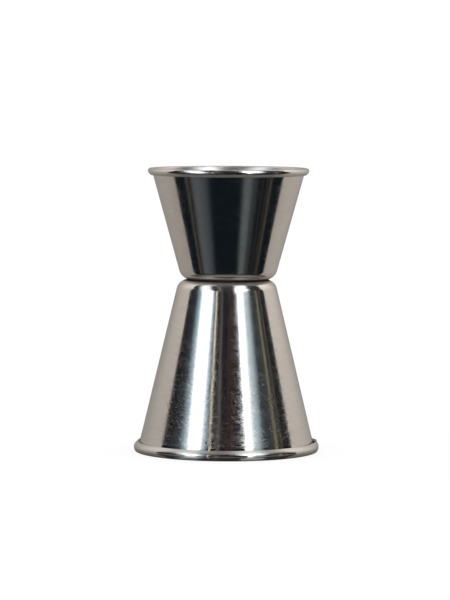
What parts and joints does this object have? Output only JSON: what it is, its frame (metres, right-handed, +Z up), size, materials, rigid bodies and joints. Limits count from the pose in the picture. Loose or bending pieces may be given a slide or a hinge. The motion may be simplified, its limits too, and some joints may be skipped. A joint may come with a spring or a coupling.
{
  "type": "bar jigger",
  "caption": "Double-ended bar measure: two polished steel cups joined floor to floor, each with a hollow rolled rim, for measuring spirits.",
  "frame": {"origin": "centre of the large mouth, in the plane that the large rim stands on", "axes": "+Z up along the common axis of both cups, from the large mouth to the small mouth; the object is round, so +X and +Y are any two square directions"},
  "size_m": [0.049, 0.049, 0.075],
  "materials": {
    "polished_steel": "mirror polished stainless steel with fine hairlines and light scratches",
    "weld_metal": "dull heat-tinted weld metal"
  },
  "bodies": {
    "root": {"large_cup": "polished_steel", "small_cup": "polished_steel", "spot_welds": "weld_metal"}
  },
  "joints": []
}
